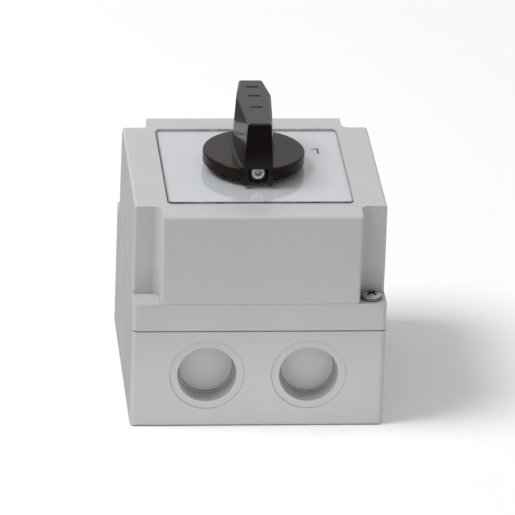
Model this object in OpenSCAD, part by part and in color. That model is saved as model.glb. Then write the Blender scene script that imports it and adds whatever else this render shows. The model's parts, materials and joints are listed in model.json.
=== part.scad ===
// Enclosed rotary isolator switch, off and on, with a throw of 60 degrees.
// It lies on its back: the origin is at the centre of the back face, +Z runs out to the handle,
// the cable entries are in the -Y side, and the handle points to +Y when the switch is off.

/* [Enclosure] */
// Width of the enclosure, along X
box_w = 100; // [96:0.5:130]
// Length of the enclosure, along Y
box_l = 100; // [96:0.5:130]
// Height of the base, from the back face to the split line
base_h = 41.3; // [36:0.1:60]
// Height of the cover, from the split line to its top
cover_h = 48.6; // [40:0.1:70]
// Thickness of the side walls
wall = 3.2; // [3:0.1:4]
// Thickness of the base's floor
floor_t = 3; // [2.5:0.1:5]
// Thickness of the cover's roof under the label
roof_t = 3; // [2:0.1:5]
// How far each side of the cover leans in at the top
draft = 0.4; // [0:0.1:0.6]
// Radius of the upright outer corners
corner_r = 2; // [1:0.1:3]
// Radius of the cover's top edges
edge_r = 1.2; // [0.5:0.1:1.5]
// Radius of the base's back edges
foot_r = 0.8; // [0.4:0.1:1.5]
// Side of the square recess at each corner of the cover
notch = 10.6; // [10:0.1:13]
// Radius of the inner corner of a recess
notch_r = 3; // [1:0.1:3.5]
// Height of the recess ledges above the split line
ledge_h = 11.3; // [6:0.1:16]
// Depth and height of the shadow gap along the split line
seam = 0.5; // [0.3:0.1:0.8]

/* [Cable entries] */
// Distance between the two entries
entry_pitch = 40.2; // [38:0.1:44]
// Distance from the split line down to the entries' axes
entry_drop = 19.1; // [18:0.1:22]
// Wall radius of an entry, the minor radius of an M25 x 1.5 thread
entry_r = 11.7; // [10:0.1:12]
// Pitch of the entry thread
thread_pitch = 1.5; // [1:0.1:2]
// Depth of a thread groove
thread_depth = 0.7; // [0.4:0.1:0.9]
// Number of thread grooves
thread_turns = 4; // [2:1:4]
// Depth of an entry, from its spot face to the blank
entry_depth = 7.7; // [7:0.1:9]
// Radius of the spot face and of the boss inside
spot_r = 14.8; // [14.5:0.1:16]
// Depth of the spot face
spot_d = 0.3; // [0.2:0.1:0.6]
// Radius of a blank
blank_r = 10.6; // [8:0.1:11]
// Thickness of a blank
blank_t = 1.5; // [1:0.1:2]

/* [Fasteners] */
// Distance of a cover screw from the outer faces
screw_inset = 5.8; // [5:0.1:7]
// Shank radius of the M4 screws
m4_r = 2; // [1.5:0.1:2.5]
// Head radius of the M4 screws
m4_head_r = 4.05; // [3.5:0.05:4.5]
// Head height of the M4 screws
m4_head_h = 2.6; // [2:0.1:3]
// Length of a cover screw under its head
cover_screw_l = 30; // [24:1:36]
// Inset of the wall screw holes from the outer faces, along X
wall_hole_x = 20; // [18:0.5:22]
// Inset of the wall screw holes from the outer faces, along Y
wall_hole_y = 15; // [13:0.5:16]
// Radius of the wall screw holes
wall_hole_r = 2.4; // [2:0.1:3]

/* [Label] */
// Side of the square label and window
plate = 72.5; // [60:0.5:76]
// Corner radius of the label and window
plate_r = 1.5; // [0.5:0.1:3]
// Depth of the label recess
recess_d = 1; // [0.8:0.1:2]
// Thickness of the label
label_t = 0.5; // [0.3:0.1:0.8]
// Height of the window above the cover
window_rise = 0.7; // [0.3:0.1:1.5]

/* [Knob] */
// Radius of the knob's disc
disc_r = 20.25; // [17:0.25:24]
// Thickness of the disc
disc_t = 4.4; // [4.2:0.1:6]
// Height of the disc above the window
disc_gap = 2.3; // [1.8:0.1:3]
// Radius of the disc's upper edge
disc_edge_r = 0.7; // [0.5:0.1:2]
// Radius of the knob's hub
hub_r = 8; // [7:0.1:9]
// Height of the grip above the disc
grip_h = 20; // [14:0.1:26]
// Width of the grip's top at its ends
grip_end_w = 9.3; // [8.5:0.1:12]
// Width of the grip's top at its widest
grip_mid_w = 13.75; // [12:0.05:16]
// Width of the grip's foot at the near end
foot_end_w = 11.5; // [11:0.1:13]
// Width of the grip's foot at its widest
foot_mid_w = 16.4; // [15:0.1:19]
// Place of the grip's widest line, ahead of the axis
grip_mid_y = 8.6; // [4:0.1:12]
// How far the near end stands out past the disc
near_over = 1.25; // [1:0.05:2]
// How far the pointer stands out past the disc
far_over = 3.35; // [2:0.05:5]
// Thickness of a leg at the near end
leg_t = 1.9; // [1.5:0.1:2.5]
// Height of the legs above the window
leg_gap = 0.3; // [0.3:0.1:1.6]

/* [Switch] */
// Side of the square contact stages
stage_w = 52; // [52:0.5:56]
// Height of a contact stage
stage_h = 12; // [11:0.1:15]
// Thickness of a stage's floor
stage_floor = 2; // [1.5:0.1:3]
// Height of the index housing
index_h = 10; // [10:0.1:14]
// Side of the square shaft
shaft_w = 7; // [6:0.1:7.4]
// Radius of the shaft's round journals
journal_r = 5; // [5:0.05:5.3]
// Largest radius of a cam
cam_r = 10; // [9:0.1:10.5]
// Travel of the moving contacts
travel = 2.6; // [2:0.1:2.8]
// Throw of the handle, in degrees
throw = 60; // [60:30:60]
// Radius of the index wheel
wheel_r = 14; // [13.5:0.1:14.5]

/* [Hidden] */
$fn = 64;
eps = 0.01;
grey = "#b9b9b8";
black = "#2a2725";
brass = "#c9a75a";
steel = "#c4c6c8";
cream = "#d8d4c6";

// Fits
seat_clear = 0.05;     // between a piece and its seat in the same body
run_clear = 0.05;      // radial clearance of a turning fit
free_clear = 0.3;      // between bodies that move past each other
slide_clear = 0.1;     // beside a sliding contact carrier

// Heights
top_z = base_h + cover_h;
recess_z = top_z - recess_d;
ceiling_z = recess_z - roof_t;
window_z = recess_z + label_t + 2 * seat_clear;
window_top = top_z + window_rise;
disc_z = window_top + disc_gap;
disc_top = disc_z + disc_t;
grip_top = disc_top + grip_h;
boss_h = 2;
switch_z = floor_t + boss_h;
switch_base_t = 5;
stage_z = switch_z + switch_base_t;
stages = 2;
index_z = stage_z + stages * stage_h;
cap_z = index_z + index_h;
cap_t = 3;

// Gasket
gasket_in = 1;         // from the outer face to the gasket
gasket_w = 1.3;
gasket_d = 1.5;

// Entries
entry_z = base_h - entry_drop;
entry_y = -box_l / 2;
blank_lip = 1;         // lip behind the bore that the blank snaps into

// Shaft passage
collar_h = 5;
collar_r = 14;
collar_z = ceiling_z - collar_h;
seal_r = 11;
seal_h = 4.4;
clip_t = 1;
clip_z = collar_z - free_clear - clip_t;
clip_depth = 0.8;
hub_z = clip_z - 1.2;
socket_top = disc_z + 0.5;
shaft_top = socket_top - 1;
shaft_bottom = switch_z + 1.5;

// Knob
rib_count = 34;
rib_h = 1.3;
rib_w = 2.3;
rib_r = disc_r - 1;
rib_ring_r = disc_r - 3;
screw_seat_r = 2.8;
screw_seat_d = 1.2;      // from the disc's rim to the seat of the screw's head
grip_screw_r = 1;
grip_screw_head_r = 2.55;
grip_screw_z = disc_top - 1.2;
screw_head_y = 0.6;      // from the grip's near face to the screw's head
near_y = -disc_r - near_over;
far_y = disc_r + far_over;
foot_far_y = far_y - 2.3;
bevel = 0.7;
flare = 0.6;
mark_ys = [-5, 6.6, 15.8];
mark_w = 5.1;
mark_l = 2.6;
mark_d = 0.33;
mark_r = (pow(mark_l / 2, 2) + pow(mark_d, 2)) / (2 * mark_d);

// Contacts, measured outwards along Y from the axis with the switch off
contact_z = 6.5;       // contact centre line above a stage's lower face
contact_h = 5;
pad_r = 1.6;
pad_t = 0.6;
pad_x = 9;
nose_r = 2;
plunger_w = 6.4;
plunger_l = 7.2;
plunger_y = cam_r + free_clear;
bridge_y = plunger_y + plunger_l;
bridge_t = 1.2;
bridge_w = 22;
post_r = 1;
closed_gap = 0.1;
fixed_pad_y = bridge_y - pad_t - travel - closed_gap;
fixed_y = fixed_pad_y - pad_t - bridge_t;
stage_wall = 1.6;
stage_in = stage_w / 2 - stage_wall;
bar_x = 7;
block_x = 17.2;
block_w = 5.8;
block_y = fixed_y - 2.2;
block_l = 6.2;
block_h = 8;
spring_r = 2.1;
spring_wire = 0.3;
spring_turns = 4;
terminal_r = 1.6;
terminal_head_r = 2.6;
terminal_head_h = 1.8;
wire_x = 19;
wire_r = 1.8;
cam_hub_r = 5.8;
cam_t = 7;
tie_inset = 2.6;
tie_r = 1.5;
tie_head_r = 2.6;
tie_head_h = 2;
ear_x = stage_w / 2 + 5;
ear_w = 10;
ear_l = 12;
ear_t = 3;

// Index
notches = 6;
nose_gap = 0.3;
index_nose_r = 1.6;
index_nose_x = wheel_r + 1;
leaf_t = 0.5;
leaf_l = 34;
lug_r = [6.5, 9.5];
lug_angle = 30;
stop_gap = 1;

// Earth terminal
earth_w = 20;
earth_l = 8;
earth_h = 8;
earth_y = box_l / 2 - wall - earth_l / 2 - 3;
earth_screw_x = 5;

// ---- Shared shapes ----

module rounded_rect(w, l, r) {
    square([w - 2 * r, l], center = true);
    square([w, l - 2 * r], center = true);
    for (x = [-1, 1], y = [-1, 1])
        translate([x * (w / 2 - r), y * (l / 2 - r)]) circle(r);
}

// Rectangle with a square recess at each corner, its inner corners rounded.
module cross_outline(w, l, r_out, r_in) {
    rounded_rect(w, l - 2 * notch, r_out);
    rounded_rect(w - 2 * notch, l, r_out);
    for (x = [-1, 1], y = [-1, 1])
        translate([x * (w / 2 - notch), y * (l / 2 - notch)])
            difference() {
                translate([x * r_in / 2, y * r_in / 2]) square(r_in, center = true);
                translate([x * r_in, y * r_in]) circle(r_in);
            }
}

// Outline inside the walls, a distance in from the outer faces.
module inner_outline(inset) {
    cross_outline(box_w - 2 * inset, box_l - 2 * inset, notch_r / 2, notch_r / 2);
}

// Upright outline with leaning sides and rounded lower and upper corners.
module side_profile(w_low, w_high, h, r_low, r_high) {
    low = w_low / 2;
    high = w_high / 2;
    polygon([
        [low - r_low, 0], [low, r_low], [high, h - r_high], [high - r_high, h],
        [r_high - high, h], [-high, h - r_high], [-low, r_low], [r_low - low, 0]
    ]);
    for (s = [-1, 1]) {
        if (r_low > 0) translate([s * (low - r_low), r_low]) circle(r_low);
        if (r_high > 0) translate([s * (high - r_high), h - r_high]) circle(r_high);
    }
}

// Block the size of the enclosure, with leaning sides and rounded edges.
module enclosure_block(lean, h, r_low, r_high) {
    intersection() {
        rotate([90, 0, 0])
            linear_extrude(2 * box_l, center = true)
                side_profile(box_w, box_w - 2 * lean, h, r_low, r_high);
        rotate([90, 0, 90])
            linear_extrude(2 * box_w, center = true)
                side_profile(box_l, box_l - 2 * lean, h, r_low, r_high);
        linear_extrude(h) rounded_rect(box_w, box_l, corner_r);
    }
}

// Places its child at the two cover screws, on one diagonal.
module at_cover_screws() {
    for (s = [-1, 1])
        translate([s * (box_w / 2 - screw_inset), -s * (box_l / 2 - screw_inset), 0]) children();
}

module at_entries() {
    for (s = [-1, 1])
        translate([s * entry_pitch / 2, entry_y, entry_z]) rotate([-90, 0, 0]) children();
}

module at_wall_holes() {
    for (x = [-1, 1], y = [-1, 1])
        translate([x * (box_w / 2 - wall_hole_x), y * (box_l / 2 - wall_hole_y), 0]) children();
}

module at_ties() {
    for (x = [-1, 1], y = [-1, 1])
        translate([x * (stage_w / 2 - tie_inset), y * (stage_w / 2 - tie_inset), 0]) children();
}

// Screw with its head's lower face at z = 0 and a domed head with a cross recess.
module pan_screw(shank_r, shank_l, head_r, head_h) {
    slot_w = 0.3 * head_r;
    slot_l = 1.25 * head_r;
    slot_d = 0.6 * head_h;
    translate([0, 0, -shank_l]) cylinder(r = shank_r, h = shank_l + head_h / 4);
    difference() {
        rotate_extrude()
            intersection() {
                translate([0, head_h - 2 * head_r]) circle(2 * head_r);
                union() {
                    square([head_r, head_h - 0.35 * head_r]);
                    square([0.65 * head_r, head_h]);
                    translate([0.65 * head_r, head_h - 0.35 * head_r]) circle(0.35 * head_r);
                }
                square([head_r, head_h]);
            }
        for (a = [0, 90])
            rotate(a + 45)
                translate([-slot_l / 2, -slot_w / 2, head_h - slot_d])
                    cube([slot_l, slot_w, head_h]);
    }
}

module square_bar(w, z_low, z_high) {
    translate([-w / 2, -w / 2, z_low]) cube([w, w, z_high - z_low]);
}

// ---- Enclosure ----

// Cut of one cable entry: spot face, threaded bore and the blank's seat, inwards along +Z.
module entry_cut() {
    translate([0, 0, -eps]) cylinder(r = spot_r, h = spot_d + eps);
    cylinder(r = entry_r, h = spot_d + entry_depth);
    cylinder(r = blank_r + 4 * seat_clear, h = spot_d + entry_depth + blank_lip + 2);
    for (i = [0 : thread_turns - 1])
        translate([0, 0, spot_d + thread_pitch * (i + 0.8)])
            rotate_extrude()
                polygon([
                    [entry_r - 1, -thread_pitch * 0.36], [entry_r, -thread_pitch * 0.36],
                    [entry_r + thread_depth, -thread_pitch * 0.06],
                    [entry_r + thread_depth, thread_pitch * 0.06],
                    [entry_r, thread_pitch * 0.36], [entry_r - 1, thread_pitch * 0.36]
                ]);
}

module enclosure_base() {
    boss_len = spot_d + entry_depth + blank_lip;
    color(grey)
        difference() {
            union() {
                difference() {
                    enclosure_block(0, base_h, foot_r, 0);
                    translate([0, 0, floor_t]) linear_extrude(base_h) inner_outline(wall);
                }
                intersection() {
                    at_entries() cylinder(r = spot_r, h = boss_len);
                    enclosure_block(0, base_h, foot_r, 0);
                }
                for (s = [-1, 1])
                    translate([s * ear_x, 0, floor_t / 2])
                        cylinder(r = ear_w / 2, h = boss_h + floor_t / 2);
                at_wall_holes()
                    translate([0, 0, floor_t / 2]) cylinder(r = 2 * wall_hole_r, h = boss_h + floor_t / 2);
            }
            // shadow gap along the split line
            translate([0, 0, base_h - seam])
                linear_extrude(2 * seam)
                    difference() {
                        square([2 * box_w, 2 * box_l], center = true);
                        rounded_rect(box_w - 2 * seam, box_l - 2 * seam, corner_r);
                    }
            // gasket groove
            translate([0, 0, base_h - gasket_d])
                linear_extrude(2 * gasket_d)
                    difference() {
                        inner_outline(gasket_in);
                        inner_outline(gasket_in + gasket_w);
                    }
            at_entries() entry_cut();
            at_wall_holes() translate([0, 0, -eps]) cylinder(r = wall_hole_r, h = switch_z + 1);
            for (s = [-1, 1])
                translate([s * ear_x, 0, floor_t / 3]) cylinder(r = m4_r + seat_clear, h = switch_z);
            at_cover_screws()
                translate([0, 0, base_h + ledge_h - cover_screw_l - 1])
                    cylinder(r = m4_r + seat_clear, h = cover_screw_l);
        }
}

module base_gasket() {
    color("#3a3a3a")
        translate([0, 0, base_h - gasket_d])
            linear_extrude(gasket_d)
                difference() {
                    inner_outline(gasket_in + seat_clear);
                    inner_outline(gasket_in + gasket_w - seat_clear);
                }
}

module enclosure_cover() {
    color(grey)
        difference() {
            union() {
                difference() {
                    translate([0, 0, base_h])
                        intersection() {
                            enclosure_block(draft, cover_h, 0, edge_r);
                            union() {
                                linear_extrude(ledge_h) square([2 * box_w, 2 * box_l], center = true);
                                linear_extrude(2 * cover_h)
                                    cross_outline(box_w - draft, box_l - draft, edge_r, notch_r);
                            }
                        }
                    linear_extrude(ceiling_z) inner_outline(wall);
                }
                translate([0, 0, collar_z]) cylinder(r = collar_r, h = collar_h + 1);
            }
            translate([0, 0, recess_z])
                linear_extrude(2 * recess_d)
                    rounded_rect(plate + 8 * seat_clear, plate + 8 * seat_clear, plate_r + 4 * seat_clear);
            translate([0, 0, collar_z - 1]) cylinder(r = hub_r + 2 * free_clear, h = collar_h + roof_t + 2);
            translate([0, 0, collar_z - 1]) cylinder(r = seal_r, h = seal_h + 1 + 4 * seat_clear);
            at_cover_screws()
                translate([0, 0, base_h - 1]) cylinder(r = m4_r + 4 * seat_clear, h = ledge_h + 2);
        }
}

module cover_screws() {
    color(steel)
        at_cover_screws()
            translate([0, 0, base_h + ledge_h]) pan_screw(m4_r, cover_screw_l, m4_head_r, m4_head_h);
}

// Thin push-in disc that closes an entry until a gland is fitted.
module entry_blank(side) {
    color("#b0aeac")
        translate([side * entry_pitch / 2, entry_y + spot_d + entry_depth, entry_z])
            rotate([-90, 0, 0]) {
                cylinder(r = blank_r, h = blank_lip + blank_t);
                translate([0, 0, blank_lip + seat_clear]) cylinder(r = entry_r, h = blank_t - seat_clear);
            }
}

module label_plate() {
    color("white")
        translate([0, 0, recess_z])
            linear_extrude(label_t)
                difference() {
                    rounded_rect(plate, plate, plate_r);
                    circle(hub_r + 2);
                }
}

module clear_window() {
    color([0.9, 0.93, 0.95, 0.5])
        translate([0, 0, window_z])
            difference() {
                linear_extrude(window_top - window_z) rounded_rect(plate, plate, plate_r);
                translate([0, 0, -1]) cylinder(r = hub_r + 2, h = window_top);
            }
}

module shaft_seal() {
    color("#303030")
        translate([0, 0, collar_z + 2 * seat_clear])
            difference() {
                cylinder(r = seal_r - seat_clear, h = seal_h);
                translate([0, 0, -1]) cylinder(r = hub_r + run_clear, h = seal_h + 2);
            }
}

// ---- Knob and shaft ----

module grip_screw_axis() {
    translate([0, near_y, grip_screw_z]) rotate([-90, 0, 0]) children();
}

module knob_disc() {
    color(black)
        difference() {
            union() {
                translate([0, 0, disc_z])
                    rotate_extrude() {
                        square([disc_r - disc_edge_r, disc_t]);
                        square([disc_r, disc_t - disc_edge_r]);
                        translate([disc_r - disc_edge_r, disc_t - disc_edge_r]) circle(disc_edge_r);
                    }
                translate([0, 0, hub_z]) cylinder(r = hub_r, h = disc_z + 1 - hub_z);
                translate([0, 0, disc_z - rib_h])
                    cylinder(r = rib_ring_r, h = rib_h + 1);
                for (i = [0 : rib_count - 1])
                    rotate(i * 360 / rib_count)
                        translate([rib_ring_r - 1, -rib_w / 2, disc_z - rib_h])
                            cube([rib_r - rib_ring_r + 1, rib_w, rib_h + 1]);
            }
            square_bar(shaft_w + 4 * slide_clear, hub_z - 1, socket_top);
            translate([0, 0, clip_z - seat_clear])
                difference() {
                    cylinder(r = hub_r + 1, h = clip_t + 2 * seat_clear);
                    translate([0, 0, -1]) cylinder(r = hub_r - clip_depth, h = clip_t + 3);
                }
            grip_screw_axis() {
                cylinder(r = screw_seat_r, h = near_over + screw_seat_d);
                cylinder(r = grip_screw_r + seat_clear, h = disc_r / 2);
            }
        }
}

// Half width of the grip's foot at a place along Y, bulging towards the middle.
function foot_half(y, grow) =
    let (
        middle = grip_mid_y / 2,
        reach = y < middle ? middle - near_y : foot_far_y - middle,
        end_w = y < middle ? foot_end_w : foot_end_w - 1
    )
    foot_mid_w / 2 + grow - (foot_mid_w - end_w) / 2 * pow((y - middle) / reach, 2);

module foot_outline(grow) {
    steps = 10;
    ys = [for (i = [0 : steps]) near_y + (foot_far_y - near_y) * i / steps];
    polygon(concat(
        [for (y = ys) [foot_half(y, grow), y]],
        [for (i = [steps : -1 : 0]) [-foot_half(ys[i], grow), ys[i]]]
    ));
}

module grip_top_outline(inset) {
    polygon([
        [grip_end_w / 2 - inset, near_y + inset / 2], [grip_mid_w / 2 - inset, grip_mid_y],
        [grip_end_w / 2 - inset, far_y - inset], [inset - grip_end_w / 2, far_y - inset],
        [inset - grip_mid_w / 2, grip_mid_y], [inset - grip_end_w / 2, near_y + inset / 2]
    ]);
}

module knob_grip() {
    leg_z = window_top + leg_gap;
    color(black)
        difference() {
            union() {
                hull() {
                    translate([0, 0, disc_top + flare]) linear_extrude(eps) foot_outline(0);
                    translate([0, 0, grip_top - bevel]) linear_extrude(eps) grip_top_outline(0);
                    translate([0, 0, grip_top - eps]) linear_extrude(eps) grip_top_outline(bevel);
                }
                hull() {
                    translate([0, 0, disc_top])
                        linear_extrude(eps)
                            intersection() {
                                foot_outline(flare);
                                circle(disc_r - disc_edge_r);
                            }
                    translate([0, 0, disc_top + 2 * flare]) linear_extrude(eps) foot_outline(0);
                }
                for (s = [-1, 1])
                    translate([s * (foot_end_w - leg_t) / 2 - leg_t / 2, near_y, leg_z])
                        cube([leg_t, near_over + screw_seat_d, disc_top + 2 * flare - leg_z]);
            }
            translate([0, 0, leg_z - 1]) cylinder(r = disc_r + seat_clear, h = disc_top - leg_z + 1);
            for (y = mark_ys)
                translate([0, y, grip_top + mark_r - mark_d])
                    rotate([0, 90, 0]) cylinder(r = mark_r, h = mark_w, center = true, $fn = 96);
            grip_screw_axis()
                translate([0, 0, screw_head_y - seat_clear])
                    cylinder(r = screw_seat_r, h = near_over + screw_seat_d - screw_head_y + seat_clear);
        }
}

// Hexagon socket screw through the near end of the grip into the disc.
module grip_screw() {
    socket_r = 1.5;
    socket_d = 1;
    head_h = near_over + screw_seat_d - screw_head_y - seat_clear;
    color(steel)
        grip_screw_axis()
            difference() {
                union() {
                    translate([0, 0, screw_head_y]) cylinder(r = grip_screw_head_r, h = head_h);
                    translate([0, 0, screw_head_y + head_h / 2])
                        cylinder(r = grip_screw_r, h = disc_r / 2 - 2);
                }
                translate([0, 0, screw_head_y - 1]) cylinder(r = socket_r, h = socket_d + 1, $fn = 6);
            }
}

// Open ring in the hub's groove that keeps the knob in the cover.
module knob_clip() {
    color(steel)
        translate([0, 0, clip_z])
            difference() {
                cylinder(r = hub_r + 2, h = clip_t);
                translate([0, 0, -1]) cylinder(r = hub_r - clip_depth + seat_clear, h = clip_t + 2);
                translate([0, -2, -1]) cube([hub_r + 3, 4, clip_t + 2]);
            }
}

module drive_shaft() {
    color(steel) {
        square_bar(shaft_w, shaft_bottom, shaft_top);
        translate([0, 0, shaft_bottom]) cylinder(r = journal_r, h = stage_z - shaft_bottom);
        translate([0, 0, cap_z]) cylinder(r = journal_r, h = cap_t + 1);
    }
}

// ---- Switch ----

module switch_base() {
    color(cream)
        difference() {
            union() {
                translate([-stage_w / 2, -stage_w / 2, switch_z]) cube([stage_w, stage_w, switch_base_t]);
                translate([-ear_x - ear_w / 2, -ear_l / 2, switch_z]) cube([2 * ear_x + ear_w, ear_l, ear_t]);
            }
            translate([0, 0, shaft_bottom - free_clear]) cylinder(r = journal_r + run_clear, h = switch_base_t);
            at_ties() translate([0, 0, switch_z + 1]) cylinder(r = tie_r + seat_clear, h = switch_base_t);
            for (s = [-1, 1])
                translate([s * ear_x, 0, switch_z - 1]) cylinder(r = m4_r + seat_clear, h = ear_t + 2);
        }
}

module switch_screws() {
    color(steel)
        for (s = [-1, 1])
            translate([s * ear_x, 0, switch_z + ear_t])
                pan_screw(m4_r, switch_z + ear_t - floor_t / 2, m4_head_r, m4_head_h);
}

module on_stage(i) {
    translate([0, 0, stage_z + i * stage_h]) children();
}

// Turns its child, made on the +Y side, to the rear (side 1) or the front (side -1).
module on_side(side) {
    rotate(side > 0 ? 0 : 180) children();
}

module contact_stage(i) {
    middle_z = stage_floor + stage_h / 2;
    color(cream)
        on_stage(i)
            difference() {
                translate([-stage_w / 2, -stage_w / 2, 0]) cube([stage_w, stage_w, stage_h]);
                translate([0, 0, -1]) cylinder(r = cam_hub_r + free_clear, h = stage_floor + 2);
                translate([0, 0, stage_floor]) cylinder(r = cam_r + 2 * free_clear, h = stage_h);
                at_ties() translate([0, 0, -1]) cylinder(r = tie_r + 3 * seat_clear, h = stage_h + 2);
                for (side = [-1, 1])
                    on_side(side) {
                        // guide of the contact carrier
                        translate([-plunger_w / 2 - slide_clear, 0, stage_floor])
                            cube([plunger_w + 2 * slide_clear, fixed_y + bridge_t + 1, stage_h]);
                        // room for the moving bridge and its spring
                        translate([-bar_x, fixed_y + bridge_t, stage_floor])
                            cube([2 * bar_x, stage_in - fixed_y - bridge_t, stage_h]);
                        for (s = [-1, 1]) {
                            translate([s * (bar_x + block_x) / 2, (fixed_y + stage_in) / 2, middle_z])
                                cube([
                                    block_x - bar_x + 2 * seat_clear, stage_in - fixed_y, stage_h
                                ], center = true);
                            // terminal pocket, open at the side
                            translate([s * (block_x + stage_w) / 2, block_y + block_l / 2, middle_z])
                                cube([
                                    stage_w - block_x, block_l + 2 * seat_clear, stage_h
                                ], center = true);
                            // wire entry
                            translate([s * wire_x, block_y, contact_z])
                                rotate([-90, 0, 0]) cylinder(r = wire_r, h = stage_w);
                        }
                    }
            }
}

// Radius of a cam at an angle back from the rear contact, falling steadily over the throw.
function cam_radius(angle) =
    let (a = angle % 180, low = throw + 15, high = 165)
    a <= throw ? cam_r - travel * a / throw :
    a <= low ? cam_r - travel :
    a <= high ? cam_r - travel * (high - a) / (high - low) :
    cam_r;

module cam(i) {
    hub_gap = 0.1;
    color("#d9843b")
        on_stage(i)
            difference() {
                union() {
                    translate([0, 0, contact_z - cam_t / 2])
                        linear_extrude(cam_t)
                            polygon([for (a = [0 : 5 : 355]) cam_radius(a) * [cos(a + 90), sin(a + 90)]]);
                    translate([0, 0, hub_gap]) cylinder(r = cam_hub_r, h = stage_h - 2 * hub_gap);
                }
                square_bar(shaft_w + 2 * seat_clear, -1, stage_h + 1);
            }
}

// Contact carrier: a block with a round nose on the cam and a post that holds the bridge and spring.
module plunger(i, side) {
    plunger_h = stage_h - stage_floor - 2 * free_clear;
    color("#e7e2d2")
        on_stage(i)
            on_side(side) {
                translate([-plunger_w / 2, plunger_y + nose_r, stage_floor + free_clear])
                    cube([plunger_w, plunger_l - nose_r, plunger_h]);
                translate([0, plunger_y + nose_r, stage_floor + free_clear]) cylinder(r = nose_r, h = plunger_h);
                translate([0, bridge_y - 1, contact_z])
                    rotate([-90, 0, 0]) cylinder(r = post_r, h = bridge_t + 3);
            }
}

module bridge(i, side) {
    color(brass)
        on_stage(i)
            on_side(side)
                difference() {
                    union() {
                        translate([-bridge_w / 2, bridge_y, contact_z - contact_h / 2])
                            cube([bridge_w, bridge_t, contact_h]);
                        for (s = [-1, 1])
                            translate([s * pad_x, bridge_y - pad_t, contact_z])
                                rotate([-90, 0, 0]) cylinder(r = pad_r, h = pad_t + bridge_t / 2);
                    }
                    translate([0, bridge_y - 1, contact_z])
                        rotate([-90, 0, 0]) cylinder(r = post_r + seat_clear, h = bridge_t + 2);
                }
}

// Ring of points of one section of a coil, whose axis is Z.
function coil_ring(angle, z, sides) = [
    for (j = [0 : sides - 1])
        let (b = j * 360 / sides, r = spring_r + spring_wire * cos(b))
        [r * cos(angle), r * sin(angle), z + spring_wire * sin(b)]
];

module coil(length) {
    sides = 6;
    steps = 12 * spring_turns;
    rise = length - 2 * spring_wire;
    points = [
        for (i = [0 : steps])
            each coil_ring(360 * spring_turns * i / steps, spring_wire + rise * i / steps, sides)
    ];
    skin = [
        for (i = [0 : steps - 1], j = [0 : sides - 1])
            let (a = i * sides + j, b = i * sides + (j + 1) % sides)
            each [[a, a + sides, b], [b, a + sides, b + sides]]
    ];
    ends = [
        [for (j = [0 : sides - 1]) j],
        [for (j = [sides - 1 : -1 : 0]) steps * sides + j]
    ];
    polyhedron(points, concat(skin, ends));
}

module spring(i, side) {
    back = bridge_y + bridge_t + seat_clear;
    color(steel)
        on_stage(i)
            on_side(side)
                translate([0, back, contact_z]) rotate([-90, 0, 0]) coil(stage_in - seat_clear - back);
}

module fixed_contacts(i) {
    color(brass)
        on_stage(i)
            for (side = [-1, 1], s = [-1, 1])
                on_side(side)
                    scale([s, 1, 1])
                        difference() {
                            union() {
                                translate([bar_x, fixed_y, contact_z - contact_h / 2])
                                    cube([block_x - bar_x + 1, bridge_t, contact_h]);
                                translate([pad_x, fixed_y + bridge_t / 2, contact_z])
                                    rotate([-90, 0, 0]) cylinder(r = pad_r, h = pad_t + bridge_t / 2);
                                translate([block_x, block_y, stage_floor]) cube([block_w, block_l, block_h]);
                            }
                            translate([block_x + 2, block_y + block_l / 2, contact_z])
                                rotate([0, 90, 0]) cylinder(r = terminal_r + seat_clear, h = block_w);
                        }
}

module terminal_screws() {
    color(steel)
        for (i = [0 : stages - 1], side = [-1, 1], s = [-1, 1])
            on_stage(i)
                on_side(side)
                    translate([s * (block_x + block_w), block_y + block_l / 2, contact_z])
                        rotate([0, 90 * s, 0])
                            difference() {
                                union() {
                                    cylinder(r = terminal_head_r, h = terminal_head_h);
                                    translate([0, 0, 2.5 - block_w]) cylinder(r = terminal_r, h = block_w - 2);
                                }
                                translate([-terminal_head_r - 1, -0.35, terminal_head_h - 0.8])
                                    cube([2 * terminal_head_r + 2, 0.7, 1]);
                            }
}

// ---- Index and cap ----

module index_housing() {
    pocket_x = index_nose_x + leaf_t + 3;
    color("#4a4a4c")
        translate([0, 0, index_z])
            difference() {
                translate([-stage_w / 2, -stage_w / 2, 0]) cube([stage_w, stage_w, index_h]);
                translate([0, 0, -1]) cylinder(r = cam_hub_r + free_clear, h = index_h);
                translate([0, 0, stage_floor]) cylinder(r = wheel_r + 0.5, h = index_h);
                translate([-pocket_x, -leaf_l / 2 + 3, stage_floor])
                    cube([2 * pocket_x, leaf_l - 6, index_h]);
                for (s = [-1, 1])
                    translate([s * (index_nose_x + 1 + leaf_t / 2), 0, stage_floor + index_h / 2])
                        cube([leaf_t + 4 * seat_clear, leaf_l + 4 * seat_clear, index_h], center = true);
                at_ties() translate([0, 0, -1]) cylinder(r = tie_r + 3 * seat_clear, h = index_h + 2);
            }
}

// Star wheel that the leaf springs hold at each notch, with the lug that meets the stops.
module index_wheel() {
    wheel_z = stage_floor + free_clear;
    wheel_t = 4.7;
    lug_h = 2.6;
    color("#d9843b")
        translate([0, 0, index_z])
            difference() {
                union() {
                    translate([0, 0, wheel_z]) cylinder(r = wheel_r, h = wheel_t);
                    translate([0, 0, 0.1]) cylinder(r = cam_hub_r, h = index_h - 0.2);
                    rotate(90 - lug_angle / 2)
                        translate([0, 0, wheel_z + wheel_t - 1])
                            rotate_extrude(angle = lug_angle)
                                translate([lug_r[0], 0]) square([lug_r[1] - lug_r[0], lug_h + 1]);
                }
                square_bar(shaft_w + 2 * seat_clear, -1, index_h + 1);
                for (n = [0 : notches - 1])
                    rotate(n * 360 / notches)
                        translate([index_nose_x, 0, -1])
                            cylinder(r = index_nose_r + nose_gap, h = index_h);
            }
}

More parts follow.
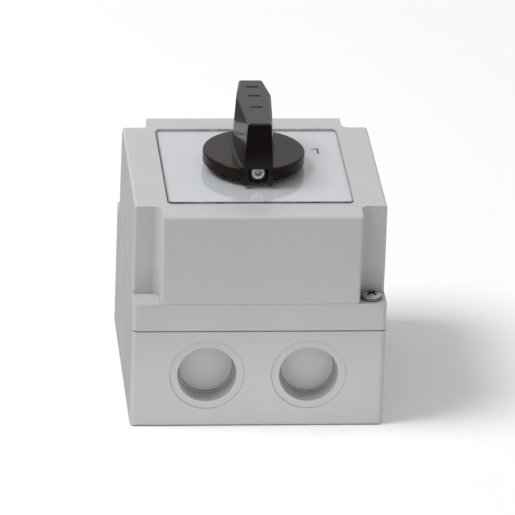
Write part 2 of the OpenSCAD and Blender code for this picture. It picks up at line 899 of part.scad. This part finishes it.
// Leaf spring with a round nose that rests in a notch of the wheel.
module index_spring(side) {
    leaf_z = stage_floor + free_clear;
    leaf_h = 4.7;
    color(steel)
        translate([0, 0, index_z + leaf_z])
            scale([side, 1, 1]) {
                translate([index_nose_x + 1, -leaf_l / 2, 0]) cube([leaf_t, leaf_l, leaf_h]);
                translate([index_nose_x, 0, 0]) cylinder(r = index_nose_r, h = leaf_h);
            }
}

// Cover plate of the switch, with the shaft's upper bearing and the two ends of the stop ring.
module switch_cap() {
    stop_h = 2.6;
    window = throw + lug_angle + 2 * stop_gap;
    color("#4a4a4c")
        difference() {
            union() {
                translate([-stage_w / 2, -stage_w / 2, cap_z]) cube([stage_w, stage_w, cap_t]);
                rotate(90 + lug_angle / 2 + stop_gap)
                    translate([0, 0, cap_z - stop_h])
                        rotate_extrude(angle = 360 - window)
                            translate([lug_r[0] + 0.2, 0]) square([lug_r[1] - lug_r[0] - 0.2, stop_h + 1]);
            }
            translate([0, 0, cap_z - 1]) cylinder(r = journal_r + run_clear, h = cap_t + 2);
            at_ties() translate([0, 0, cap_z - 1]) cylinder(r = tie_r + 3 * seat_clear, h = cap_t + 2);
        }
}

module tie_screws() {
    color(steel)
        at_ties()
            translate([0, 0, cap_z + cap_t])
                pan_screw(tie_r, cap_z + cap_t - switch_z - 1.5, tie_head_r, tie_head_h);
}

// ---- Earth terminal ----

module at_earth_screws() {
    for (s = [-1, 1])
        translate([s * earth_screw_x, earth_y, floor_t + earth_h]) children();
}

module earth_terminal() {
    color(brass)
        difference() {
            translate([-earth_w / 2, earth_y - earth_l / 2, floor_t]) cube([earth_w, earth_l, earth_h]);
            at_earth_screws() translate([0, 0, -earth_h + 1]) cylinder(r = m4_r + seat_clear, h = earth_h);
            for (s = [-1, 1])
                translate([s * earth_screw_x, earth_y - earth_l, floor_t + 3])
                    rotate([-90, 0, 0]) cylinder(r = wire_r, h = 2 * earth_l);
        }
}

module earth_screws() {
    color(steel) at_earth_screws() pan_screw(m4_r, 3, m4_head_r - 0.5, m4_head_h);
}

enclosure_base();
base_gasket();
enclosure_cover();
cover_screws();
entry_blank(-1);  // entry_blank_left
entry_blank(1);  // entry_blank_right
label_plate();
clear_window();
shaft_seal();
knob_disc();
knob_grip();
grip_screw();
knob_clip();
drive_shaft();
switch_base();
switch_screws();
contact_stage(0);  // contact_stage_1
contact_stage(1);  // contact_stage_2
cam(0);  // cam_1
cam(1);  // cam_2
plunger(0, 1);  // plunger_1_rear
plunger(0, -1);  // plunger_1_front
plunger(1, 1);  // plunger_2_rear
plunger(1, -1);  // plunger_2_front
bridge(0, 1);  // bridge_1_rear
bridge(0, -1);  // bridge_1_front
bridge(1, 1);  // bridge_2_rear
bridge(1, -1);  // bridge_2_front
spring(0, 1);  // spring_1_rear
spring(0, -1);  // spring_1_front
spring(1, 1);  // spring_2_rear
spring(1, -1);  // spring_2_front
fixed_contacts(0);  // fixed_contacts_1
fixed_contacts(1);  // fixed_contacts_2
terminal_screws();
index_housing();
index_wheel();
index_spring(-1);  // index_spring_left
index_spring(1);  // index_spring_right
switch_cap();
tie_screws();
earth_terminal();
earth_screws();
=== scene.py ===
import json
import math

import bmesh
import bpy
from mathutils import Matrix, Vector


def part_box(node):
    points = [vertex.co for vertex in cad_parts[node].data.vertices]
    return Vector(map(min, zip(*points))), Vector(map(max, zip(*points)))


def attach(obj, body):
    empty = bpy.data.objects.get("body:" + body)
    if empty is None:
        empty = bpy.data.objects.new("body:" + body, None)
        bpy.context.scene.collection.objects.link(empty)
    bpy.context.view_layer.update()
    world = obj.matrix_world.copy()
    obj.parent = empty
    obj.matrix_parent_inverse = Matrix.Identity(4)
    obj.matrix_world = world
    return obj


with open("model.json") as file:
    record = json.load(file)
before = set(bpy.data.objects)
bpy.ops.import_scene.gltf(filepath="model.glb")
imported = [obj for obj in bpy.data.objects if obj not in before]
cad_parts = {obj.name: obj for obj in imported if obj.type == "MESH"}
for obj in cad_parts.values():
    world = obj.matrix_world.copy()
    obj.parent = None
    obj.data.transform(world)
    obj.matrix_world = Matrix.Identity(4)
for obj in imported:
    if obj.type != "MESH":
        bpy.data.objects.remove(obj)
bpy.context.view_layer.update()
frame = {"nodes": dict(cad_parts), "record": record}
NODES = frame["nodes"]
RECORD = frame["record"]
MM = 0.001

# ---- Camera: a long lens, slightly left of the front and above ----
AIM = Vector((3.15, 0.0, 50.15)) * MM
AZIMUTH = math.radians(-5.78)
ELEVATION = math.radians(24.31)
ROLL = math.radians(2.18)
DISTANCE = 2.2541
LENS = 394.1
SENSOR = 36.0


def make_camera():
    back = Vector((
        math.sin(AZIMUTH) * math.cos(ELEVATION),
        -math.cos(AZIMUTH) * math.cos(ELEVATION),
        math.sin(ELEVATION),
    ))
    right = Vector((math.cos(AZIMUTH), math.sin(AZIMUTH), 0.0))
    up = back.cross(right)
    level = Matrix((right, up, back)).transposed()
    camera = bpy.data.objects.new("camera", bpy.data.cameras.new("camera"))
    bpy.context.scene.collection.objects.link(camera)
    camera.data.lens = LENS
    camera.data.sensor_width = SENSOR
    camera.data.clip_end = 50.0
    turned = level @ Matrix.Rotation(ROLL, 3, "Z")
    camera.matrix_world = Matrix.Translation(AIM + back * DISTANCE) @ turned.to_4x4()
    bpy.context.scene.camera = camera


# ---- Node helpers ----
class Shader:
    """A material's node tree, with short calls for the nodes that the finishes share."""

    def __init__(self, name):
        self.material = bpy.data.materials.new(name)
        self.material.use_nodes = True
        self.tree = self.material.node_tree
        self.tree.nodes.clear()
        self.output = self.add("ShaderNodeOutputMaterial")
        self.coord_node = self.add("ShaderNodeTexCoord")
        self.coords = self.coord_node.outputs["Object"]

    def add(self, kind, **settings):
        node = self.tree.nodes.new(kind)
        for key, value in settings.items():
            setattr(node, key, value)
        return node

    def link(self, source, target):
        self.tree.links.new(source, target)

    def noise(self, size_mm, detail=2.0, stretch=(1.0, 1.0, 1.0)):
        """Noise whose features are about size_mm across."""
        mapping = self.add("ShaderNodeMapping")
        mapping.inputs["Scale"].default_value = stretch
        self.link(self.coords, mapping.inputs["Vector"])
        noise = self.add("ShaderNodeTexNoise")
        noise.inputs["Scale"].default_value = 1.0 / (size_mm * MM)
        noise.inputs["Detail"].default_value = detail
        self.link(mapping.outputs["Vector"], noise.inputs["Vector"])
        return noise.outputs["Fac"]

    def remap(self, source, low, high, start=0.3, stop=0.7):
        node = self.add("ShaderNodeMapRange")
        node.inputs["From Min"].default_value = start
        node.inputs["From Max"].default_value = stop
        node.inputs["To Min"].default_value = low
        node.inputs["To Max"].default_value = high
        self.link(source, node.inputs["Value"])
        return node.outputs["Result"]

    def blend(self, factor, first, second):
        """Mixes two linear colours by a factor socket."""
        node = self.add("ShaderNodeMix", data_type="RGBA")
        for name, value in (("A", first), ("B", second)):
            socket = [s for s in node.inputs if s.name == name and s.type == "RGBA"][0]
            if hasattr(value, "is_output"):
                self.link(value, socket)
            else:
                socket.default_value = (*value, 1.0)
        self.link(factor, node.inputs["Factor"])
        return [s for s in node.outputs if s.type == "RGBA"][0]

    def bump(self, height, depth_mm, normal=None, strength=1.0):
        node = self.add("ShaderNodeBump")
        node.inputs["Strength"].default_value = strength
        node.inputs["Distance"].default_value = depth_mm * MM
        self.link(height, node.inputs["Height"])
        if normal is not None:
            self.link(normal, node.inputs["Normal"])
        return node.outputs["Normal"]

    def soft_edges(self, radius_mm):
        node = self.add("ShaderNodeBevel", samples=6)
        node.inputs["Radius"].default_value = radius_mm * MM
        return node.outputs["Normal"]

    def painted_shade_mask(self, size_mm, low=0.35, high=0.85):
        """Painted-shade mask from ambient occlusion: 1 in the open and 0 deep in grooves and corners of
        about size_mm.
        """
        node = self.add("ShaderNodeAmbientOcclusion", samples=8)
        node.inputs["Distance"].default_value = size_mm * MM
        return self.remap(node.outputs["AO"], 0.0, 1.0, low, high)

    def principled(self, **values):
        node = self.add("ShaderNodeBsdfPrincipled")
        for key, value in values.items():
            socket = node.inputs[key.replace("_", " ")]
            if hasattr(value, "is_output"):
                self.link(value, socket)
            else:
                socket.default_value = value
        self.link(node.outputs["BSDF"], self.output.inputs["Surface"])
        return node


def linear(red, green, blue):
    """An sRGB colour in 0 to 255 as linear values."""
    def one(value):
        value /= 255.0
        return value / 12.92 if value <= 0.04045 else ((value + 0.055) / 1.055) ** 2.4
    return tuple(one(v) for v in (red, green, blue))


def shade(colour, factor):
    return tuple(min(1.0, c * factor) for c in colour)


# ---- Materials ----
def moulded(
    name, colour, roughness, grain_mm=0.35, grain_depth_mm=0.006, edge_mm=0.3, specular=0.5,
    gloss_tint=(1.0, 1.0, 1.0),
):
    """Moulded plastic: eroded-mould grain, faint flow clouding, uneven gloss and painted shade in its
    grooves.
    """
    s = Shader(name)
    flow = s.remap(s.noise(38.0, 3.0, (1.0, 1.0, 0.45)), 0.0, 1.0)
    fleck = s.remap(s.noise(1.3, 2.0), 0.0, 0.35)
    tint = s.blend(flow, shade(colour, 0.975), shade(colour, 1.02))
    tint = s.blend(fleck, tint, shade(colour, 0.95))
    # painted shade: grooves and corners are darkened by ambient occlusion
    tint = s.blend(s.painted_shade_mask(1.2), shade(colour, 0.72), tint)
    gloss = s.remap(s.noise(9.0, 4.0), roughness - 0.05, roughness + 0.06)
    grain = s.noise(grain_mm, 3.0)
    normal = s.bump(grain, grain_depth_mm, s.soft_edges(edge_mm))
    s.principled(
        Base_Color=tint, Roughness=gloss, Normal=normal,
        Specular_IOR_Level=specular, Specular_Tint=(*gloss_tint, 1.0),
    )
    return s.material


def metal(name, colour, roughness, brush=(1.0, 1.0, 12.0), line_mm=0.25, depth_mm=0.004):
    """Plated or drawn metal: fine lines, a slightly clouded finish and painted shade in recesses, which
    also stands for dark oxide in sockets.
    """
    s = Shader(name)
    cloud = s.remap(s.noise(2.2, 3.0), 0.0, 1.0)
    tint = s.blend(cloud, shade(colour, 0.85), shade(colour, 1.06))
    # painted shade: ambient occlusion darkens recesses almost to black, also standing for dark oxide in
    # sockets
    tint = s.blend(s.painted_shade_mask(1.6), shade(colour, 0.04), tint)
    lines = s.noise(line_mm, 2.0, brush)
    gloss = s.remap(lines, roughness - 0.06, roughness + 0.1)
    normal = s.bump(lines, depth_mm, s.soft_edges(0.12))
    s.principled(Base_Color=tint, Metallic=1.0, Roughness=gloss, Normal=normal)
    return s.material


def rubber(name, colour):
    s = Shader(name)
    dust = s.remap(s.noise(3.0, 4.0), 0.0, 0.6)
    tint = s.blend(dust, colour, shade(colour, 2.2))
    normal = s.bump(s.noise(0.5, 3.0), 0.02)
    s.principled(Base_Color=tint, Roughness=s.remap(s.noise(1.0), 0.72, 0.9), Normal=normal)
    return s.material


def printed_sheet(name, colour):
    """White printed sheet with the faint tooth of its stock."""
    s = Shader(name)
    tooth = s.noise(0.22, 3.0)
    tint = s.blend(s.remap(s.noise(30.0, 2.0), 0.0, 1.0), colour, shade(colour, 0.98))
    s.principled(
        Base_Color=tint, Roughness=s.remap(tooth, 0.5, 0.62), Normal=s.bump(tooth, 0.003)
    )
    return s.material


def clear_plastic(name):
    """Clear polished sheet: it lets the label through, mirrors what stands on it and has painted shade
    on its edges, where the side faces are an opaque dark grey.
    """
    s = Shader(name)
    fresnel = s.add("ShaderNodeFresnel")
    fresnel.inputs["IOR"].default_value = 1.49
    through = s.add("ShaderNodeBsdfTransparent")
    through.inputs["Color"].default_value = (0.97, 0.97, 0.97, 1.0)
    mirror = s.add("ShaderNodeBsdfGlossy")
    mirror.inputs["Color"].default_value = (1.0, 1.0, 1.0, 1.0)
    s.link(s.remap(s.noise(6.0, 4.0), 0.02, 0.09), mirror.inputs["Roughness"])
    wave = s.bump(s.noise(14.0, 1.0), 0.01, s.soft_edges(0.3))
    s.link(wave, mirror.inputs["Normal"])
    s.link(wave, fresnel.inputs["Normal"])
    outside = s.remap(s.add("ShaderNodeNewGeometry").outputs["Backfacing"], 1.0, 0.0, 0.0, 1.0)
    facing = s.add("ShaderNodeMath", operation="MULTIPLY")
    s.link(fresnel.outputs["Fac"], facing.inputs[0])
    s.link(outside, facing.inputs[1])
    mix = s.add("ShaderNodeMixShader")
    s.link(facing.outputs["Value"], mix.inputs[0])
    s.link(through.outputs["BSDF"], mix.inputs[1])
    s.link(mirror.outputs["BSDF"], mix.inputs[2])
    # painted shade: the side faces get an opaque, streaked dark grey in place of the dark look of a
    # clear edge
    edge = s.add("ShaderNodeBsdfPrincipled")
    edge.inputs["Roughness"].default_value = 0.12
    painted_edge_shade = s.blend(s.remap(s.noise(4.0, 3.0), 0.0, 1.0), (0.05, 0.05, 0.05), (0.3, 0.3, 0.3))
    s.link(painted_edge_shade, edge.inputs["Base Color"])
    split = s.add("ShaderNodeSeparateXYZ")
    s.link(s.coord_node.outputs["Normal"], split.inputs["Vector"])
    level = s.add("ShaderNodeMath", operation="ABSOLUTE")
    s.link(split.outputs["Z"], level.inputs[0])
    sheet = s.add("ShaderNodeMixShader")
    s.link(s.remap(level.outputs["Value"], 0.0, 1.0, 0.4, 0.6), sheet.inputs[0])
    s.link(edge.outputs["BSDF"], sheet.inputs[1])
    s.link(mix.outputs["Shader"], sheet.inputs[2])
    s.link(sheet.outputs["Shader"], s.output.inputs["Surface"])
    return s.material


def print_ink(name):
    s = Shader(name)
    edge = s.remap(s.noise(0.4, 3.0), 0.0, 1.0)
    tint = s.blend(edge, (0.012, 0.012, 0.013), (0.03, 0.03, 0.032))
    s.principled(Base_Color=tint, Roughness=0.5)
    return s.material


WARM = (1.0, 0.92, 0.88)


def make_materials():
    """One finish per material slot of the record."""
    return {
        "grey_shell": moulded("grey_shell", linear(186, 186, 186), 0.42, edge_mm=0.5),
        "blank_grey": moulded("blank_grey", linear(190, 190, 189), 0.45, edge_mm=0.2),
        "black_knob": moulded(
            "black_knob", linear(15, 10, 8), 0.15, 0.5, 0.001, 0.3, specular=0.34,
            gloss_tint=WARM,
        ),
        "black_disc": moulded(
            "black_disc", linear(27, 16, 13), 0.17, 0.5, 0.001, 0.3, specular=0.14,
            gloss_tint=WARM,
        ),
        "seal_rubber": rubber("seal_rubber", linear(38, 38, 38)),
        "white_label": printed_sheet("white_label", linear(203, 206, 210)),
        "clear_window": clear_plastic("clear_window"),
        "zinc_screw": metal("zinc_screw", linear(168, 166, 162), 0.33, (1.0, 1.0, 1.0)),
        "bright_steel": metal("bright_steel", linear(205, 205, 206), 0.24),
        "spring_steel": metal("spring_steel", linear(170, 170, 174), 0.3),
        "cream_moulding": moulded("cream_moulding", linear(221, 214, 196), 0.5),
        "carrier_plastic": moulded("carrier_plastic", linear(232, 228, 214), 0.45),
        "orange_cam": moulded("orange_cam", linear(222, 134, 62), 0.45),
        "dark_moulding": moulded("dark_moulding", linear(66, 66, 69), 0.5),
        "contact_brass": metal("contact_brass", linear(214, 178, 104), 0.28),
    }


# The disc's moulding is a little duller than the grip's.
FINISH_OF_NODE = {"knob_disc": "black_disc"}


def dress_cad(materials):
    for part in RECORD["subparts"]:
        finish = FINISH_OF_NODE.get(part["node"], part["material_slot"])
        data = NODES[part["node"]].data
        data.materials.clear()
        data.materials.append(materials[finish])


# ---- Printed marks on the label ----
MARK_T = 0.03 * MM
MARK_LIFT = 0.02 * MM
DIGIT_H = 5.5
STROKE = 1.05
FLAG_W = 3.1
ZERO_W = 3.7
ONE_PLACE = (27.8, 13.4)
ZERO_PLACE = (0.0, 30.0)


def add_piece(name, mesh, material, body):
    piece = bpy.data.objects.new(name, mesh)
    bpy.context.scene.collection.objects.link(piece)
    mesh.materials.append(material)
    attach(piece, body)
    return piece


def flat_solid(name, faces, z):
    """A thin solid from plan outlines in millimetres, given as lists of points."""
    bm = bmesh.new()
    made = []
    for outline in faces:
        verts = [bm.verts.new((x * MM, y * MM, z)) for x, y in outline]
        made.append(bm.faces.new(verts))
    bmesh.ops.remove_doubles(bm, verts=bm.verts, dist=1e-7)
    grown = bmesh.ops.extrude_face_region(bm, geom=list(bm.faces))
    up = [g for g in grown["geom"] if isinstance(g, bmesh.types.BMVert)]
    bmesh.ops.translate(bm, verts=up, vec=(0.0, 0.0, MARK_T))
    bmesh.ops.recalc_face_normals(bm, faces=bm.faces)
    mesh = bpy.data.meshes.new(name)
    bm.to_mesh(mesh)
    bm.free()
    return mesh


def digit_one(x, y):
    """A bold 1, its stem's right foot at x, y."""
    left = x - STROKE
    tip = x - FLAG_W
    top = y + DIGIT_H
    return [
        [(left, y), (x, y), (x, top), (left, top)],
        [(left, top), (x - 0.35 * STROKE, top), (left, top - 0.8), (tip, top - 1.9), (tip, top - 1.0)],
    ]


def digit_zero(x, y):
    """A bold 0 centred on x, y, as a ring of quads."""
    count = 40
    outer = (ZERO_W / 2, DIGIT_H / 2)
    inner = (outer[0] - STROKE, outer[1] - 0.9 * STROKE)
    ring = []
    for i in range(count):
        pair = []
        for j in (i, i + 1):
            angle = 2.0 * math.pi * j / count
            way = (math.cos(angle), math.sin(angle))
            pair.append([(x + a * way[0], y + b * way[1]) for a, b in (outer, inner)])
        ring.append([pair[0][1], pair[0][0], pair[1][0], pair[1][1]])
    return ring


def make_marks(ink):
    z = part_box("label_plate")[1].z + MARK_LIFT
    for name, outlines in (
        ("mark_one", digit_one(*ONE_PLACE)),
        ("mark_zero", digit_zero(*ZERO_PLACE)),
    ):
        add_piece(name, flat_solid(name, outlines, z), ink, "enclosure")


# ---- Surroundings: pale floor, white sky, one large lamp and a faint one low in front ----
FLOOR_SIZE = 8.0
FLOOR_DROP = 0.2 * MM
SKY = 0.53
KEY_PLACE = Vector((-1.1, -0.15, 1.75))
KEY_POWER = 27.0
KEY_SIZE = (0.9, 0.9)
LOW_PLACE = Vector((0.0, -0.095, 0.004))
LOW_AIM = Vector((0.0, -0.05, 0.004))
LOW_POWER = 0.01
LOW_SIZE = (0.16, 0.012)


def make_floor():
    bm = bmesh.new()
    bmesh.ops.create_grid(bm, x_segments=1, y_segments=1, size=FLOOR_SIZE / 2)
    mesh = bpy.data.meshes.new("floor")
    bm.to_mesh(mesh)
    bm.free()
    floor = bpy.data.objects.new("floor", mesh)
    bpy.context.scene.collection.objects.link(floor)
    floor.location.z = -FLOOR_DROP
    s = Shader("floor")
    # dark in reflections, so that the black plastic stays black in front
    mirrored = s.add("ShaderNodeLightPath").outputs["Is Glossy Ray"]
    tint = s.blend(mirrored, (0.99, 0.99, 0.99), (0.12, 0.12, 0.12))
    s.principled(Base_Color=tint, Roughness=0.9, Specular_IOR_Level=0.1)
    mesh.materials.append(s.material)


def add_lamp(name, place, aim, power, size):
    light = bpy.data.lights.new(name, "AREA")
    light.shape = "ELLIPSE"
    light.size, light.size_y = size
    light.energy = power
    lamp = bpy.data.objects.new(name, light)
    bpy.context.scene.collection.objects.link(lamp)
    lamp.location = place
    lamp.rotation_euler = (aim - place).to_track_quat("-Z", "Y").to_euler()
    lamp.visible_camera = False


def make_light():
    world = bpy.data.worlds.new("studio")
    bpy.context.scene.world = world
    world.use_nodes = True
    tree = world.node_tree
    tree.nodes.clear()
    paths = tree.nodes.new("ShaderNodeLightPath")
    seen = tree.nodes.new("ShaderNodeMath")
    seen.operation = "MAXIMUM"
    tree.links.new(paths.outputs["Is Camera Ray"], seen.inputs[0])
    tree.links.new(paths.outputs["Is Glossy Ray"], seen.inputs[1])
    through = tree.nodes.new("ShaderNodeMath")
    through.operation = "MAXIMUM"
    tree.links.new(seen.outputs["Value"], through.inputs[0])
    tree.links.new(paths.outputs["Is Transmission Ray"], through.inputs[1])
    level = tree.nodes.new("ShaderNodeMapRange")
    level.inputs["To Min"].default_value = SKY
    level.inputs["To Max"].default_value = 1.0
    tree.links.new(through.outputs["Value"], level.inputs["Value"])
    background = tree.nodes.new("ShaderNodeBackground")
    background.inputs["Color"].default_value = (1.0, 1.0, 1.0, 1.0)
    tree.links.new(level.outputs["Result"], background.inputs["Strength"])
    output = tree.nodes.new("ShaderNodeOutputWorld")
    tree.links.new(background.outputs["Background"], output.inputs["Surface"])
    add_lamp("key", KEY_PLACE, AIM, KEY_POWER, KEY_SIZE)
    add_lamp("low", LOW_PLACE, LOW_AIM, LOW_POWER, LOW_SIZE)


def main():
    scene = bpy.context.scene
    scene.view_settings.view_transform = "Standard"
    make_camera()
    dress_cad(make_materials())
    make_marks(print_ink("print_ink"))
    make_floor()
    make_light()


main()
